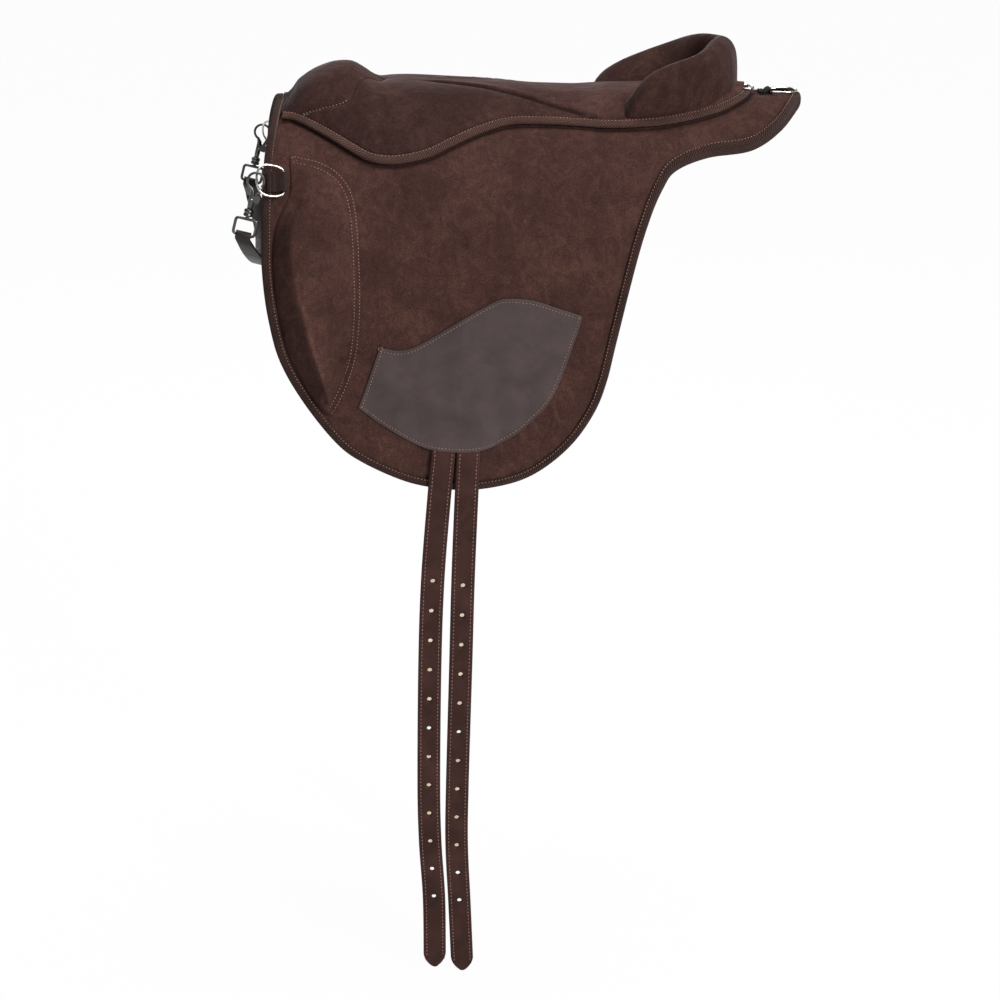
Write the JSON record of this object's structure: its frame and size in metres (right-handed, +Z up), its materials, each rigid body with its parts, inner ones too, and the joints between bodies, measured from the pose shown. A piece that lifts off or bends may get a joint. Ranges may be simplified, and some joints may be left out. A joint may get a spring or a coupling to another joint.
{
  "type": "bareback pad",
  "caption": "Suede bareback riding pad with raised pommel, horseshoe cantle, knee blocks, punched girth billets and a grab handle on snap hooks.",
  "frame": {"origin": "underside of the lining on the spine, halfway along the pad, where it rests on the horse's back", "axes": "+X from the pommel to the tail, -Y to the horse's left side, +Z up"},
  "size_m": [0.6084, 0.3192, 1.0261],
  "materials": {
    "brown_suede": "matt suede",
    "grey_brown_leather": "smooth waxed",
    "ribbed_binding": "ribbed tape",
    "bridle_leather": "satin",
    "wool_felt": "felt",
    "webbing": "woven",
    "nickel_plate": "polished",
    "gunmetal": "dark plated"
  },
  "bodies": {
    "pad": {"underside_lining": "brown_suede", "pad_core": "wool_felt", "girth_web_front": "webbing", "girth_web_rear": "webbing", "pad_cover": "brown_suede", "pad_binding": "ribbed_binding", "seat_cover": "brown_suede", "seat_foam": "wool_felt", "seat_binding": "ribbed_binding", "pommel_cover": "brown_suede", "pommel_foam": "wool_felt", "cantle_cover": "brown_suede", "cantle_foam": "wool_felt", "knee_left_cover": "brown_suede", "knee_left_foam": "wool_felt", "knee_right_cover": "brown_suede", "knee_right_foam": "wool_felt", "wear_patch_left": "grey_brown_leather", "wear_patch_right": "grey_brown_leather", "billet_root_left_front": "bridle_leather", "billet_root_left_rear": "bridle_leather", "billet_root_right_front": "bridle_leather", "billet_root_right_rear": "bridle_leather", "ring_tab_left": "webbing", "ring_tab_right": "webbing", "tail_tab": "webbing", "cantle_tab": "webbing"},
    "billet_left_front": {"billet_left_front": "bridle_leather"},
    "billet_left_rear": {"billet_left_rear": "bridle_leather"},
    "billet_right_front": {"billet_right_front": "bridle_leather"},
    "billet_right_rear": {"billet_right_rear": "bridle_leather"},
    "front_ring_left": {"front_ring_left": "nickel_plate"},
    "front_ring_right": {"front_ring_right": "nickel_plate"},
    "handle": {"grab_handle": "bridle_leather", "swivel_eye_left": "gunmetal", "swivel_eye_right": "gunmetal"},
    "hook_left": {"hook_body_left": "gunmetal", "trigger_pin_left": "nickel_plate"},
    "hook_right": {"hook_body_right": "gunmetal", "trigger_pin_right": "nickel_plate"},
    "trigger_left": {"trigger_left": "gunmetal"},
    "trigger_right": {"trigger_right": "gunmetal"},
    "tail_ring": {"tail_ring": "nickel_plate"},
    "cantle_ring": {"cantle_ring": "nickel_plate"}
  },
  "joints": [
    {"name": "billet_left_front_swing", "type": "hinge", "parent": "pad", "child": "billet_left_front", "pos_m": [-0.10675, -0.15065, -0.32925], "axis": [-1, 0, 0], "range_deg": [0, 105]},
    {"name": "billet_left_rear_swing", "type": "hinge", "parent": "pad", "child": "billet_left_rear", "pos_m": [-0.08025, -0.15065, -0.32925], "axis": [-1, 0, 0], "range_deg": [0, 105]},
    {"name": "billet_right_front_swing", "type": "hinge", "parent": "pad", "child": "billet_right_front", "pos_m": [-0.10675, 0.15065, -0.32925], "axis": [1, 0, 0], "range_deg": [0, 105]},
    {"name": "billet_right_rear_swing", "type": "hinge", "parent": "pad", "child": "billet_right_rear", "pos_m": [-0.08025, 0.15065, -0.32925], "axis": [1, 0, 0], "range_deg": [0, 105]},
    {"name": "front_ring_left_pivot", "type": "hinge", "parent": "pad", "child": "front_ring_left", "pos_m": [-0.266, -0.12793, -0.04307], "axis": [0, 0.5, 0.866], "range_deg": [-1.5, 1.5]},
    {"name": "front_ring_right_pivot", "type": "hinge", "parent": "pad", "child": "front_ring_right", "pos_m": [-0.266, 0.12793, -0.04307], "axis": [0, 0.5, -0.866], "range_deg": [-1.5, 1.5]},
    {"name": "grab_handle_swing", "type": "hinge", "parent": "pad", "child": "handle", "pos_m": [-0.29335, 0, -0.03754], "axis": [0, 1, 0], "range_deg": [0, 140]},
    {"name": "hook_left_swivel", "type": "hinge", "parent": "handle", "child": "hook_left", "pos_m": [-0.30363, -0.1375, -0.07589], "axis": [0.2588, 0, 0.9659], "range_deg": [-4, 4]},
    {"name": "hook_right_swivel", "type": "hinge", "parent": "handle", "child": "hook_right", "pos_m": [-0.30363, 0.1375, -0.07589], "axis": [0.2588, 0, 0.9659], "range_deg": [-4, 4]},
    {"name": "trigger_left_press", "type": "hinge", "parent": "hook_left", "child": "trigger_left", "pos_m": [-0.29871, -0.1375, -0.05754], "axis": [0, -1, 0], "range_deg": [0, 18], "stiffness_Nm_per_rad": 0.02, "springref_deg": -11.46},
    {"name": "trigger_right_press", "type": "hinge", "parent": "hook_right", "child": "trigger_right", "pos_m": [-0.29871, 0.1375, -0.05754], "axis": [0, -1, 0], "range_deg": [0, 18], "stiffness_Nm_per_rad": 0.02, "springref_deg": -11.46},
    {"name": "tail_ring_pivot", "type": "hinge", "parent": "pad", "child": "tail_ring", "pos_m": [0.253, 0, 0.0235], "axis": [0, -1, 0], "range_deg": [0, 140]},
    {"name": "cantle_ring_pivot", "type": "hinge", "parent": "pad", "child": "cantle_ring", "pos_m": [0.2225, 0, 0.0272], "axis": [0, -1, 0], "range_deg": [0, 90]}
  ]
}
